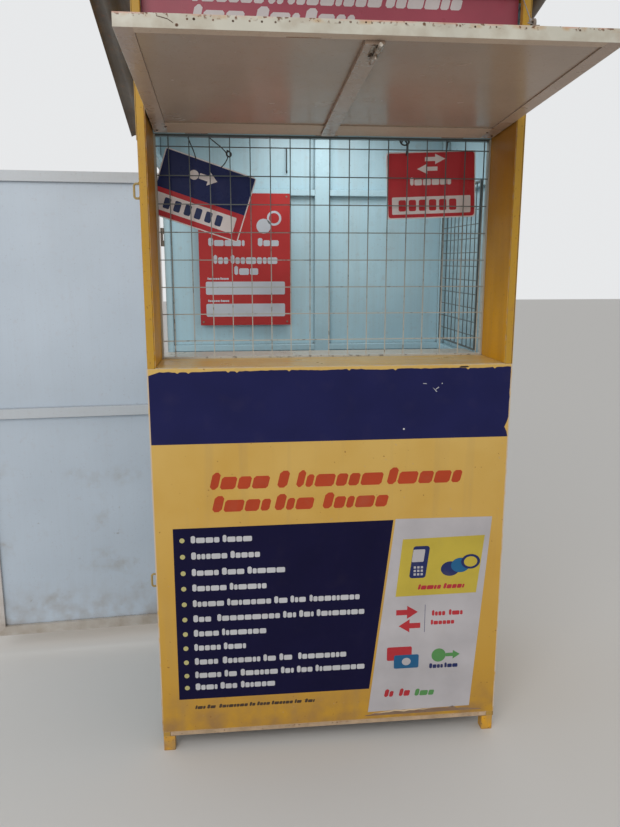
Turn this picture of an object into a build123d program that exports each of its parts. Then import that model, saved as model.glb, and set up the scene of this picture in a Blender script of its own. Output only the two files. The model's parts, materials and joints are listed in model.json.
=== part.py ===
from build123d import *
import os
from math import atan2, cos, radians, sin

# Street kiosk of sheet steel on a frame of square tube, in millimetres.
# X runs to the right seen from the street, Y into the booth, Z up.
# The origin is on the ground below the middle of the front panel.

os.makedirs("parts", exist_ok=True)

# Booth
width = 1200
depth = 840
front_height = 2530
roof_fall = 0.28
tube = 25
tube_corner = 2
rod_sides = 12
sheet = 2
foot = 40
foot_height = 55
base_lip = 18

# Serving window
counter_height = 1364
counter_reach = 430
counter_hem = 25
recess_depth = 230
sign_high = 313
sign_inset = 45
sign_fold = 20
soffit_drop = 77

# Wire mesh in the window
mesh_wire = 3.2
mesh_sink = 0.6
mesh_border = 6
mesh_border_deep = 25
mesh_pitch_x = 67
mesh_pitch_z = 91.7
mesh_first_x = 12.5
mesh_top_drop = 38

# Flap, drawn level and then raised about its hinge
flap_rise = 4.6
flap_length = 880
flap_side_gap = 7
flap_thick = 30
flap_side_member = 42
flap_front_member = 30
flap_rear_member = 120
flap_lining_inset = 3
flap_bar = 44
flap_bar_x = -2
flap_bar_proud = 8
flap_bar_end_gap = 20
flap_axis_gap = 12
flap_hinge_set = 10
flap_hinge_xs = (-430, 0, 430)

# Hinge barrels
barrel_radius = 6
hinge_offset = 8
pin_radius = 3.5
pin_play = 0.3
knuckle = 24
knuckle_gap = 1
hinge_plate = 4

# Side door, drawn shut and then swung open about its hinge
door_open_angle = 86
door_gap = 8
door_bottom = 94
door_head_drop = 62
door_thick = 19
door_member = 40
door_mid_share = 0.505
door_hinge_inset = 250

# Roof
roof_left_overhang = 151
roof_right_overhang = 103
roof_front_overhang = 200
roof_rear_overhang = 320
wave_pitch = 76
wave_height = 16
roof_sheet = 1.5

# Staples, hasps and the bolt of the flap
staple_from_bottom = 547
staple_from_top = 138
staple_rod = 7
staple_height = 50
staple_reach = 20
hasp_length = 110
hasp_height = 32
hasp_corner = 6
hasp_slot = 58
hasp_slot_high = 11
bolt_rod = 9
bolt_drop = 1
bolt_length = 120
bolt_plate_long = 80
bolt_plate_wide = 26
bolt_loop = 12
bolt_knob = 7
bolt_knob_high = 12

# Stay of the flap: a wire with an eye at each end
stay_x = 352
stay_from_edge = 15
stay_wire = 3
eye_radius = 8
ring_rod = 5
ring_radius = 9
ring_plate = 34
stay_post_inset = 22
eye_play = 1.5

# Frame members and things fixed inside
rear_stud_x = 60
rear_stud_wide = 64
girt_low_drop = 44
girt_high_drop = 143
plate_wide = 315
plate_high = 223
plate_thick = 3
plate_gap = 0.3
plate_wire = 3
plate_wire_reach = 70
left_plate_x = -418
left_plate_drop = 191
left_plate_tilt = -18.2
right_plate_x = 372
right_plate_drop = 149
right_plate_tilt = 2.3
poster_left = -457
poster_wide = 380
poster_high = 540
poster_thick = 3
poster_hold = 8
grid_inset_front = 80
grid_inset_rear = 23
grid_lift = 6
grid_pitch = 51
grid_wire = 3
grid_border = 6

half = width / 2
frame_half = half - sheet
frame_inner = frame_half - tube
frame_front = sheet
frame_rear = depth - sheet
base_top = foot_height + tube
floor_top = base_top + sheet
cheek_inner = frame_inner - sheet
counter_under = counter_height - sheet
head_under = front_height - roof_fall * (frame_front + tube) - tube
soffit_height = head_under - sign_high - sheet
window_top = soffit_height - soffit_drop
door_top = window_top - door_head_drop
door_mid_rail = door_bottom + door_mid_share * (door_top - door_bottom) - door_member / 2
staple_heights = (door_bottom + staple_from_bottom, door_top - staple_from_top)
girt_low = counter_height - girt_low_drop
girt_high = window_top - girt_high_drop
post_ys = (frame_front, frame_rear - tube)
post_xs = (-frame_half, frame_inner)

roof_plane = Plane(origin=(0, 0, front_height), x_dir=(1, 0, 0), z_dir=(0, roof_fall, 1))


def roof_height(y):
    """Height of the top of the frame at a distance from the front."""
    return front_height - roof_fall * y


def block(x_from, x_to, y_from, y_to, z_from, z_to):
    """A flat piece of sheet or plate between two corners."""
    plain = Box(x_to - x_from, y_to - y_from, z_to - z_from, align=(Align.MIN,) * 3)
    return Pos(x_from, y_from, z_from) * plain


def tube_section(wide, high):
    """Section of square tube, its rounded corners drawn as small flats."""
    section = Rectangle(wide, high)
    return chamfer(section.vertices(), tube_corner)


def rod_section(radius):
    """Section of round rod, drawn with a few flats."""
    return RegularPolygon(radius, rod_sides)


def tube_x(x_from, x_to, y_low, z_low, deep=tube, high=tube):
    """Square tube along X."""
    middle = Plane(
        origin=(x_from, y_low + deep / 2, z_low + high / 2), x_dir=(0, 1, 0), z_dir=(1, 0, 0)
    )
    return extrude(middle * tube_section(deep, high), x_to - x_from)


def tube_y(y_from, y_to, x_low, z_low, wide=tube, high=tube):
    """Square tube along Y."""
    middle = Plane(
        origin=(x_low + wide / 2, y_from, z_low + high / 2), x_dir=(0, 0, 1), z_dir=(0, 1, 0)
    )
    return extrude(middle * tube_section(high, wide), y_to - y_from)


def tube_z(z_from, z_to, x_low, y_low, wide=tube, deep=tube):
    """Square tube along Z."""
    middle = Plane(
        origin=(x_low + wide / 2, y_low + deep / 2, z_from), x_dir=(1, 0, 0), z_dir=(0, 0, 1)
    )
    return extrude(middle * tube_section(wide, deep), z_to - z_from)


def group(*solids):
    """Several separate solids as one sub-part."""
    return Compound(children=[solid for part in solids for solid in part.solids()])


def side_profile(points, x_from, x_to):
    """A flat outline in the YZ plane drawn out along X."""
    outline = [(x_from, y, z) for y, z in points]
    face = make_face(Polyline(*outline, close=True))
    return extrude(face, x_to - x_from, dir=(1, 0, 0))


def mitred(low_end, high_end, outer, inner):
    """Outline of a frame member with mitred ends: lengthwise limits, then its two edges."""
    cut = abs(inner - outer)
    return [(low_end, outer), (low_end + cut, inner), (high_end - cut, inner), (high_end, outer)]


def save(name, part):
    """Write one sub-part to its own file."""
    part.label = name
    export_step(part, f"parts/{name}.step")


# Feet: stubs of heavier tube under the four corners

def make_feet():
    return group(*[
        tube_z(0, foot_height, x, y, foot, foot)
        for x in (-frame_half, frame_half - foot)
        for y in (frame_front, frame_rear - foot)
    ])


# Corner posts, with their tops cut to the slope of the roof

def make_posts(y_low):
    posts = []
    for x_low in post_xs:
        post = tube_z(foot_height, front_height + tube, x_low, y_low)
        posts.append(split(post, bisect_by=roof_plane, keep=Keep.BOTTOM))
    return group(*posts)


# Bottom frame

def make_base_rails_long():
    return group(*[tube_x(-frame_inner, frame_inner, y, foot_height) for y in post_ys])


def make_base_rails_side():
    start = frame_front + tube
    end = frame_rear - tube
    return group(*[tube_y(start, end, x, foot_height) for x in post_xs])


# Top frame

def make_head_rails_long():
    front_top = roof_height(frame_front + tube)
    rear_top = roof_height(frame_rear)
    return group(
        tube_x(-frame_inner, frame_inner, frame_front, front_top - tube),
        tube_x(-frame_inner, frame_inner, frame_rear - tube, rear_top - tube),
    )


def make_head_rails_side():
    rails = []
    between = block(-width, width, frame_front + tube, frame_rear - tube, 0, 2 * front_height)
    for x_low in post_xs:
        middle = Plane(
            origin=roof_plane.from_local_coords((x_low + tube / 2, -tube, -tube / 2)),
            x_dir=(1, 0, 0),
            z_dir=roof_plane.y_dir,
        )
        long_rail = extrude(middle * tube_section(tube, tube), 2 * depth)
        rails.append(long_rail & between)
    return group(*rails)


def make_door_head_rail():
    return tube_y(frame_front + tube, frame_rear - tube, -frame_half, door_top + door_gap)


# Sheets of the booth

def make_floor_sheet():
    floor = block(-frame_half, frame_half, frame_front, frame_rear, base_top, floor_top)
    for x_low in post_xs:
        for y_low in post_ys:
            floor -= block(x_low, x_low + tube, y_low, y_low + tube, base_top, floor_top)
    return floor


def make_front_panel():
    return block(-half, half, 0, sheet, foot_height + base_lip, counter_under)


def make_rear_wall():
    return block(-half, half, frame_rear, depth, foot_height, roof_height(depth))


def make_right_wall():
    outline = [
        (frame_front, foot_height),
        (frame_rear, foot_height),
        (frame_rear, roof_height(frame_rear)),
        (frame_front, roof_height(frame_front)),
    ]
    return side_profile(outline, frame_half, half)


def make_left_fascia():
    outline = [
        (frame_front, door_top + door_gap),
        (frame_rear, door_top + door_gap),
        (frame_rear, roof_height(frame_rear)),
        (frame_front, roof_height(frame_front)),
    ]
    return side_profile(outline, -half, -frame_half)


# Inner frame members of the rear and right walls

def make_rear_wall_stud():
    top = roof_height(frame_rear) - tube
    return tube_z(floor_top, top, rear_stud_x - rear_stud_wide / 2, frame_rear - tube,
                  rear_stud_wide, tube)


def make_rear_wall_girts():
    y_low = frame_rear - tube
    girts = []
    for z_low in (girt_low, girt_high):
        girts.append(tube_x(-frame_inner, rear_stud_x - rear_stud_wide / 2, y_low, z_low))
        girts.append(tube_x(rear_stud_x + rear_stud_wide / 2, frame_inner, y_low, z_low))
    return group(*girts)


def make_right_wall_girts():
    start = frame_front + tube
    end = frame_rear - tube
    return group(*[tube_y(start, end, frame_inner, z) for z in (girt_low, girt_high)])


# Counter: one sheet, the sill outside the mesh and the shelf inside it, hemmed at the back

def make_counter():
    outline = [
        (0, counter_under),
        (0, counter_height),
        (counter_reach, counter_height),
        (counter_reach, counter_height - counter_hem),
        (counter_reach - sheet, counter_height - counter_hem),
        (counter_reach - sheet, counter_under),
    ]
    return side_profile(outline, -frame_inner, frame_inner)


def make_counter_rails():
    z_low = counter_under - tube
    return group(
        tube_x(-frame_inner, frame_inner, frame_front, z_low),
        tube_x(-frame_inner, frame_inner, recess_depth, z_low),
    )


# Cheeks: the flat sides of the window recess

def make_window_cheeks():
    run = (frame_front, recess_depth + tube, counter_height, soffit_height)
    return group(block(-frame_inner, -cheek_inner, *run), block(cheek_inner, frame_inner, *run))


def make_grille_head_rail():
    return tube_x(-cheek_inner, cheek_inner, recess_depth, window_top)


def make_recess_soffit():
    back = recess_depth + tube
    outline = [
        (sign_inset, soffit_height),
        (sign_inset, soffit_height + sheet),
        (back + sheet, soffit_height + sheet),
        (back + sheet, window_top),
        (back, window_top),
        (back, soffit_height),
    ]
    return side_profile(outline, -frame_inner, frame_inner)


def make_header_sign():
    top = head_under
    bottom = soffit_height + sheet
    outline = [
        (sign_inset, bottom),
        (sign_inset + sign_fold, bottom),
        (sign_inset + sign_fold, bottom + sheet),
        (sign_inset + sheet, bottom + sheet),
        (sign_inset + sheet, top - sheet),
        (sign_inset + sign_fold, top - sheet),
        (sign_inset + sign_fold, top),
        (sign_inset, top),
    ]
    return side_profile(outline, -frame_inner, frame_inner)


# Window mesh: square wires welded where they cross, in a border bar

def make_window_grille():
    x_end = cheek_inner
    z_low = counter_height
    z_high = window_top
    y_low = recess_depth
    border_y = y_low + mesh_border_deep
    grille = block(-x_end, x_end, y_low, border_y, z_low, z_low + mesh_border)
    grille += block(-x_end, x_end, y_low, border_y, z_high - mesh_border, z_high)
    grille += block(-x_end, -x_end + mesh_border, y_low, border_y, z_low, z_high)
    grille += block(x_end - mesh_border, x_end, y_low, border_y, z_low, z_high)
    wires = []
    steps = int(x_end // mesh_pitch_x) + 1
    for step in range(-steps, steps + 1):
        x = mesh_first_x + step * mesh_pitch_x
        if abs(x) < x_end - mesh_border - mesh_wire:
            half_wire = mesh_wire / 2
            wires.append(block(x - half_wire, x + half_wire, y_low, y_low + mesh_wire, z_low, z_high))
    y_wire = y_low + mesh_wire - mesh_sink
    wire_top = z_high - mesh_top_drop + mesh_wire / 2
    for step in range(int((wire_top - z_low - mesh_border) // mesh_pitch_z) + 1):
        top = wire_top - step * mesh_pitch_z
        wires.append(block(-x_end, x_end, y_wire, y_wire + mesh_wire, top - mesh_wire, top))
    return grille.fuse(*wires)


# Roof: battens across the slope and corrugated sheet down it

def make_roof_purlins():
    reach = frame_half
    slope_length = (frame_rear - frame_front) / cos(atan2(roof_fall, 1))
    purlins = []
    for share in (0, 0.5, 1):
        start = frame_front + share * (slope_length - tube)
        centre = roof_plane.from_local_coords((-reach, start + tube / 2, tube / 2))
        middle = Plane(origin=centre, x_dir=roof_plane.y_dir, z_dir=(1, 0, 0))
        purlins.append(extrude(middle * tube_section(tube, tube), 2 * reach))
    return group(*purlins)


def wave_line(x_from, x_to, count, lift):
    """A corrugated line of arcs, each a crest or a trough."""
    arcs = []
    quarter = (x_to - x_from) / count / 4
    for step in range(2 * count):
        x = x_from + step * 2 * quarter
        crest = lift + (wave_height / 2 if step % 2 == 0 else -wave_height / 2)
        arcs.append(ThreePointArc((x, lift), (x + quarter, crest), (x + 2 * quarter, lift)))
    return arcs


def make_roof_sheet():
    x_from = -half - roof_left_overhang
    x_to = half + roof_right_overhang
    count = round((x_to - x_from) / wave_pitch)
    low = tube + wave_height / 2
    high = low + roof_sheet
    lower = wave_line(x_from, x_to, count, low)
    upper = wave_line(x_from, x_to, count, high)
    ends = [Line((x, low), (x, high)) for x in (x_from, x_to)]
    section = make_face(Wire(lower + upper + ends))
    slope = cos(atan2(roof_fall, 1))
    start = -roof_front_overhang / slope
    length = (depth + roof_front_overhang + roof_rear_overhang) / slope
    origin = roof_plane.from_local_coords((0, start, 0))
    across = Plane(origin=origin, x_dir=(1, 0, 0), z_dir=-roof_plane.y_dir)
    return extrude(across * section, -length)


# Staples on the left front post that the door is locked to

def make_door_staples():
    staples = []
    y = frame_front + tube / 2
    for z in staple_heights:
        reach = staple_reach - staple_rod / 2
        rise = staple_height / 2 - staple_rod / 2
        path = FilletPolyline(
            (-frame_half, y, z - rise),
            (-frame_half - reach, y, z - rise),
            (-frame_half - reach, y, z + rise),
            (-frame_half, y, z + rise),
            radius=staple_rod,
        )
        end = Plane(origin=path @ 0, z_dir=path % 0)
        staples.append(sweep(end * rod_section(staple_rod / 2), path=path))
    return group(*staples)


# Hinges: a pin through knuckles, each set written along its own local X axis

def knuckle_rod(start, length):
    plane = Plane(origin=(start, 0, 0), x_dir=(0, 1, 0), z_dir=(1, 0, 0))
    return extrude(plane * rod_section(barrel_radius), length)


def fixed_hinge_half(reach):
    """Two outer knuckles on one pin, with a plate out to what carries them."""
    outer = knuckle / 2 + knuckle_gap
    full = 2 * (outer + knuckle)
    plane = Plane(origin=(-full / 2, 0, 0), x_dir=(0, 1, 0), z_dir=(1, 0, 0))
    hinge = extrude(plane * Circle(pin_radius), full)
    for start in (-outer - knuckle, outer):
        hinge += knuckle_rod(start, knuckle)
        low = hinge_offset - hinge_plate
        hinge += block(start, start + knuckle, 0, reach, low, hinge_offset)
    return hinge


def moving_hinge_half(reach):
    """The middle knuckle, with a plate out to the piece that turns."""
    low = hinge_offset - hinge_plate
    solid = knuckle_rod(-knuckle / 2, knuckle)
    solid += block(-knuckle / 2, knuckle / 2, -reach, 0, low, hinge_offset)
    plane = Plane(origin=(-knuckle / 2, 0, 0), x_dir=(0, 1, 0), z_dir=(1, 0, 0))
    return solid - extrude(plane * rod_section(pin_radius + pin_play), knuckle)


# Flap: a frame of flat tube with a sheet outside and a lining let in below

flap_axis_y = recess_depth - flap_axis_gap
flap_axis_z = window_top + barrel_radius
flap_half = cheek_inner - flap_side_gap
flap_low = -barrel_radius
flap_bar_low = flap_low - flap_bar_proud
flap_frame_high = flap_low + flap_thick - sheet
flap_bay = (-flap_length + flap_front_member, -flap_hinge_set - flap_rear_member)
flap_bar_edges = (flap_bar_x - flap_bar / 2, flap_bar_x + flap_bar / 2)


def raised(part):
    """Move a piece of the flap from its level drawing to its place on the booth."""
    return Pos(0, flap_axis_y, flap_axis_z) * Rot(-flap_rise, 0, 0) * part


def make_flap_long_members():
    inner_x = flap_half - flap_side_member
    front = (-flap_length, -flap_length + flap_front_member)
    rear = (-flap_hinge_set - flap_rear_member, -flap_hinge_set)
    return group(*[block(-inner_x, inner_x, *y, flap_low, flap_frame_high) for y in (front, rear)])


def make_flap_side_members():
    """The two sides and the middle bar, which hangs lower and laps over the rear member."""
    full = (-flap_length, -flap_hinge_set)
    inner_x = flap_half - flap_side_member
    bar_end = -flap_hinge_set - flap_bar_end_gap
    bar = block(*flap_bar_edges, *flap_bay, flap_low, flap_frame_high)
    bar += block(*flap_bar_edges, flap_bay[0], bar_end, flap_bar_low, flap_low)
    return group(
        block(-flap_half, -inner_x, *full, flap_low, flap_frame_high),
        block(inner_x, flap_half, *full, flap_low, flap_frame_high),
        bar,
    )


def make_flap_sheet():
    return block(-flap_half, flap_half, -flap_length, -flap_hinge_set,
                 flap_frame_high, flap_frame_high + sheet)


def make_flap_lining():
    inner_x = flap_half - flap_side_member
    low = flap_low + flap_lining_inset
    bays = ((-inner_x, flap_bar_edges[0]), (flap_bar_edges[1], inner_x))
    return group(*[block(*bay, *flap_bay, low, low + sheet) for bay in bays])


def make_flap_hinge_knuckles():
    return group(*[Pos(x, 0, 0) * moving_hinge_half(flap_hinge_set) for x in flap_hinge_xs])


def make_flap_hinge_leaves():
    reach = flap_axis_gap
    return group(*[
        Pos(x, flap_axis_y, flap_axis_z) * fixed_hinge_half(reach) for x in flap_hinge_xs
    ])


def make_flap_bolt():
    """Sliding bolt under the outer end of the middle bar, to lock the flap when it is shut."""
    y_mid = -flap_length + flap_front_member + bolt_plate_long / 2
    x_mid = flap_bar_edges[1] - bolt_plate_wide / 2
    low = flap_bar_low - sheet
    rod_z = low - bolt_rod / 2 - bolt_drop
    bolt = Pos(x_mid, y_mid, low + sheet / 2) * Box(bolt_plate_wide, bolt_plate_long, sheet)
    end = Plane(origin=(x_mid, y_mid - bolt_length / 2, rod_z), x_dir=(1, 0, 0), z_dir=(0, 1, 0))
    bolt += extrude(end * rod_section(bolt_rod / 2), bolt_length)
    saddle_high = bolt_rod / 2 + bolt_drop + sheet / 2
    saddle = rod_section(bolt_rod / 2 + sheet)
    saddle += Pos(0, -saddle_high / 2) * Rectangle(bolt_rod + 2 * sheet, saddle_high)
    for share in (0.2, 0.8):
        start = (bolt_length - bolt_plate_long) / 2 + share * bolt_plate_long - bolt_loop / 2
        bolt += extrude(end.offset(start) * saddle, bolt_loop)
    knob = Plane(origin=(x_mid, y_mid, rod_z), z_dir=(0, 0, -1))
    return bolt + extrude(knob * rod_section(bolt_knob / 2), bolt_knob_high)


# Ring on the flap's outer edge and the wire from it to the head rail

ring_y = -flap_length + stay_from_edge
ring_foot = flap_frame_high + sheet
ring_z = ring_foot + ring_radius


def make_eye(plane, radius, rod):
    """An eye of rod lying in a plane, drawn as a flat ring."""
    ring = rod_section(radius + rod / 2) - rod_section(radius - rod / 2)
    return extrude(plane * ring, rod / 2, both=True)


def make_ring(centre):
    """A ring that stands in the YZ plane."""
    return make_eye(Plane(origin=centre, z_dir=(1, 0, 0)), ring_radius, ring_rod)


def make_flap_ring():
    ring = make_ring((stay_x, ring_y, ring_z))
    ring &= block(-width, width, -width, width, ring_foot, ring_foot + 2 * ring_plate)
    plate_x = (stay_x - ring_plate / 4, stay_x + ring_plate / 4)
    return ring + block(*plate_x, -flap_length, -flap_length + ring_plate,
                        ring_foot, ring_foot + sheet)


def ring_centre():
    """Where the middle of the ring comes on the booth with the flap raised."""
    rise = radians(flap_rise)
    return Vector(
        stay_x,
        flap_axis_y + ring_y * cos(rise) + ring_z * sin(rise),
        flap_axis_z - ring_y * sin(rise) + ring_z * cos(rise),
    )


staple_centre = Vector(frame_inner - stay_post_inset, frame_front, head_under + tube / 2)


def make_stay_staple():
    """Half ring on the front of the head rail."""
    return make_ring(staple_centre) & block(0, width, -width, frame_front, 0, 2 * front_height)


def eye_centre(centre, pull):
    """Middle of the stay's eye that bears on a ring from inside."""
    flat = Vector(0, pull.Y, pull.Z).normalized()
    bearing = ring_radius - ring_rod / 2 - stay_wire / 2 - eye_play
    return centre + flat * (bearing + eye_radius)


def make_flap_stay():
    pull = staple_centre - ring_centre()
    low = eye_centre(ring_centre(), pull)
    high = eye_centre(staple_centre, -pull)
    run = (high - low).normalized()
    eye_normal = run.cross(Vector(1, 0, 0)).normalized()
    start = low + run * eye_radius
    end = high - run * eye_radius
    wire = Plane(origin=start, x_dir=eye_normal, z_dir=run) * Rectangle(stay_wire, stay_wire)
    stay = extrude(wire, (end - start).length)
    for centre in (low, high):
        eye = Plane(origin=centre, x_dir=run, z_dir=eye_normal)
        stay += make_eye(eye, eye_radius, stay_wire)
    return stay


# Side door: a frame of flat tube with a sheet on its outer face

door_axis_x = -frame_half - hinge_offset
door_axis_y = frame_rear - tube - door_gap / 2
door_from = frame_front + tube + door_gap
door_to = frame_rear - tube - door_gap
door_outer = -frame_half
door_inner = door_outer + door_thick
door_hinge_heights = (
    door_bottom + door_hinge_inset,
    (door_bottom + door_top) / 2 + door_member,
    door_top - door_hinge_inset,
)


def opened(part):
    """Swing a piece of the door from its shut drawing to where it stands open."""
    hinge = Pos(door_axis_x, door_axis_y, 0)
    return hinge * Rot(0, 0, -door_open_angle) * hinge.inverse() * part


def make_door_stiles():
    stiles = []
    for outer, inner in ((door_from, door_from + door_member), (door_to, door_to - door_member)):
        outline = [(y, z) for z, y in mitred(door_bottom, door_top, outer, inner)]
        stiles.append(side_profile(outline, door_outer + sheet, door_inner))
    return group(*stiles)


def make_door_rails():
    rails = []
    for outer, inner in (
        (door_bottom, door_bottom + door_member),
        (door_top, door_top - door_member),
    ):
        outline = mitred(door_from, door_to, outer, inner)
        rails.append(side_profile(outline, door_outer + sheet, door_inner))
    middle = (door_from + door_member, door_to - door_member)
    rails.append(block(door_outer + sheet, door_inner, *middle,
                       door_mid_rail, door_mid_rail + door_member))
    return group(*rails)


def make_door_sheet():
    return block(door_outer, door_outer + sheet, door_from, door_to, door_bottom, door_top)


def upright(hinge_half, z):
    """Stand a hinge half on end on the door's axis, its plate along Y on the outer faces."""
    return Pos(door_axis_x, door_axis_y, z) * Rot(0, 90, 0) * hinge_half


def make_door_hinge_knuckles():
    reach = door_member
    return group(*[upright(moving_hinge_half(reach), z) for z in door_hinge_heights])


def make_door_hinge_leaves():
    reach = tube - door_gap / 2
    return group(*[upright(fixed_hinge_half(reach), z) for z in door_hinge_heights])


def make_door_hasps():
    """Straps with a slot for the staple, folded back flat on the door."""
    hasps = []
    for z in staple_heights:
        middle = Plane(
            origin=(door_outer, door_from + hasp_length / 2, z), x_dir=(0, -1, 0), z_dir=(-1, 0, 0)
        )
        strap = chamfer(Rectangle(hasp_length, hasp_height).vertices(), hasp_corner)
        strap -= Pos(-hasp_length / 2 + hasp_slot, 0) * Rectangle(hasp_slot, hasp_slot_high)
        hasps.append(extrude(middle * strap, hinge_plate))
    return group(*hasps)


# Things fixed or hung inside

def make_poster_board():
    y_to = frame_rear - tube
    top = girt_high + poster_hold
    return block(poster_left, poster_left + poster_wide, y_to - poster_thick, y_to,
                 top - poster_high, top)


def make_hanging_plates():
    """Two plates hung flat behind the mesh's frame, each on two wires from the head rail."""
    front = recess_depth + tube + plate_gap
    inside = block(-frame_inner, frame_inner, 0, depth, 0, window_top - plate_gap)
    plates = []
    for x, drop, tilt in (
        (left_plate_x, left_plate_drop, left_plate_tilt),
        (right_plate_x, right_plate_drop, right_plate_tilt),
    ):
        middle = Plane(origin=(x, front, window_top - drop), x_dir=(1, 0, 0), z_dir=(0, -1, 0))
        plate = extrude(middle * Rot(0, 0, tilt) * Rectangle(plate_wide, plate_high), -plate_thick)
        for side in (-plate_wire_reach, plate_wire_reach):
            wire = middle * Pos(side, drop / 2) * Rectangle(plate_wire, drop)
            plate += extrude(wire, -plate_thick)
        plates.append(plate & inside)
    return group(*plates)


def make_display_grid():
    """Wire panel on the right wall, its wires fused where they cross."""
    x_to = frame_inner
    grid_from = recess_depth + grid_inset_front
    grid_to = frame_rear - tube - grid_inset_rear
    z_to = girt_high + tube - grid_border
    z_from = counter_height + grid_lift
    x_border = (x_to - grid_border, x_to)
    grid = block(*x_border, grid_from, grid_to, z_from, z_from + grid_border)
    grid += block(*x_border, grid_from, grid_to, z_to - grid_border, z_to)
    grid += block(*x_border, grid_from, grid_from + grid_border, z_from, z_to)
    grid += block(*x_border, grid_to - grid_border, grid_to, z_from, z_to)
    wires = []
    for step in range(1, int((grid_to - grid_from) // grid_pitch)):
        y = grid_from + step * grid_pitch
        wires.append(block(x_to - grid_wire, x_to, y, y + grid_wire, z_from, z_to))
    for step in range(1, int((z_to - z_from) // grid_pitch)):
        z = z_from + step * grid_pitch
        x_wire = x_to - 2 * grid_wire + mesh_sink
        wires.append(block(x_wire, x_wire + grid_wire, grid_from, grid_to, z, z + grid_wire))
    return grid.fuse(*wires)


fixed_parts = {
    "feet": make_feet(),
    "front_posts": make_posts(post_ys[0]),
    "rear_posts": make_posts(post_ys[1]),
    "base_rails_long": make_base_rails_long(),
    "base_rails_side": make_base_rails_side(),
    "head_rails_long": make_head_rails_long(),
    "head_rails_side": make_head_rails_side(),
    "door_head_rail": make_door_head_rail(),
    "floor_sheet": make_floor_sheet(),
    "front_panel": make_front_panel(),
    "rear_wall": make_rear_wall(),
    "right_wall": make_right_wall(),
    "left_fascia": make_left_fascia(),
    "rear_wall_stud": make_rear_wall_stud(),
    "rear_wall_girts": make_rear_wall_girts(),
    "right_wall_girts": make_right_wall_girts(),
    "counter": make_counter(),
    "counter_rails": make_counter_rails(),
    "window_cheeks": make_window_cheeks(),
    "grille_head_rail": make_grille_head_rail(),
    "recess_soffit": make_recess_soffit(),
    "header_sign": make_header_sign(),
    "window_grille": make_window_grille(),
    "roof_purlins": make_roof_purlins(),
    "roof_sheet": make_roof_sheet(),
    "door_staples": make_door_staples(),
    "flap_hinge_leaves": make_flap_hinge_leaves(),
    "door_hinge_leaves": make_door_hinge_leaves(),
    "poster_board": make_poster_board(),
    "display_grid": make_display_grid(),
    "hanging_plates": make_hanging_plates(),
    "stay_staple": make_stay_staple(),
    "flap_stay": make_flap_stay(),
}
for name, part in fixed_parts.items():
    save(name, part)

flap_parts = {
    "flap_long_members": make_flap_long_members(),
    "flap_side_members": make_flap_side_members(),
    "flap_sheet": make_flap_sheet(),
    "flap_lining": make_flap_lining(),
    "flap_hinge_knuckles": make_flap_hinge_knuckles(),
    "flap_bolt": make_flap_bolt(),
    "flap_ring": make_flap_ring(),
}
for name, part in flap_parts.items():
    save(name, raised(part))

door_parts = {
    "door_stiles": make_door_stiles(),
    "door_rails": make_door_rails(),
    "door_sheet": make_door_sheet(),
    "door_hinge_knuckles": make_door_hinge_knuckles(),
    "door_hasps": make_door_hasps(),
}
for name, part in door_parts.items():
    save(name, opened(part))
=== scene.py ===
import bpy
import bmesh
import json
import random
from math import atan, cos, pi, radians, sin
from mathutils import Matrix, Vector, noise


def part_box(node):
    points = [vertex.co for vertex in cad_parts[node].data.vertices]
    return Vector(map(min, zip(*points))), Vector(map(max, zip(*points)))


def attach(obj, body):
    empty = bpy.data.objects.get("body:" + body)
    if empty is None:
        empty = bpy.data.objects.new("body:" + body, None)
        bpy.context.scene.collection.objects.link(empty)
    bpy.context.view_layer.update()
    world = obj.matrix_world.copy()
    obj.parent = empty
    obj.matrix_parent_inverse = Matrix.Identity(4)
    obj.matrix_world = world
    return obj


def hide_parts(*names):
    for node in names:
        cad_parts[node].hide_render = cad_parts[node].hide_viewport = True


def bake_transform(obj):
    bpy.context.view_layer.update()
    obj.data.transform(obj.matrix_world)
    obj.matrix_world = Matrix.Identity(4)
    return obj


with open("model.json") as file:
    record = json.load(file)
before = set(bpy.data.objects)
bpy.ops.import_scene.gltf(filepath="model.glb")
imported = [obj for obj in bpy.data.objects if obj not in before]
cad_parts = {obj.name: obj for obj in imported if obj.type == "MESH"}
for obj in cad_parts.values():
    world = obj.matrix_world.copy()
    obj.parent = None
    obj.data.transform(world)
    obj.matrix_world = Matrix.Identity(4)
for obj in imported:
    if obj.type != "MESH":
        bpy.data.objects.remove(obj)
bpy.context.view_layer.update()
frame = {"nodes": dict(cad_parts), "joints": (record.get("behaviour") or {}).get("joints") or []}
nodes = frame["nodes"]


# Camera, studio and lamps. The camera stands a little left of the booth's middle at eye
# height and looks slightly down. A pale floor, an even pale sky, one broad soft lamp in
# front and a small one under the roof light the booth.

camera_place = (-0.3314, -2.3653, 1.6981)
camera_down = radians(11.654)
camera_right = radians(6.085)
camera_lens = 32.22
floor_colour = (0.66, 0.65, 0.63)
sky_colour = (0.80, 0.81, 0.82)
sky_light = 0.62


def placed(name, data):
    """Put new data into the scene as an object at the origin."""
    made = bpy.data.objects.new(name, data)
    bpy.context.scene.collection.objects.link(made)
    return made


camera = bpy.data.cameras.new("camera")
camera.sensor_fit = "VERTICAL"
camera.sensor_height = 36
camera.lens = camera_lens
camera_object = placed("camera", camera)
camera_object.location = camera_place
camera_object.rotation_euler = (pi / 2 - camera_down, 0, -camera_right)
bpy.context.scene.camera = camera_object
bpy.context.scene.view_settings.view_transform = "Standard"


def add_node(tree, kind, inputs=None, **settings):
    """Add a node to a tree, set or link its inputs, and return it."""
    made = tree.nodes.new(kind)
    for key, value in settings.items():
        setattr(made, key, value)
    for key, value in (inputs or {}).items():
        if isinstance(value, bpy.types.NodeSocket):
            tree.links.new(value, made.inputs[key])
        else:
            made.inputs[key].default_value = value
    return made


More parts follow.
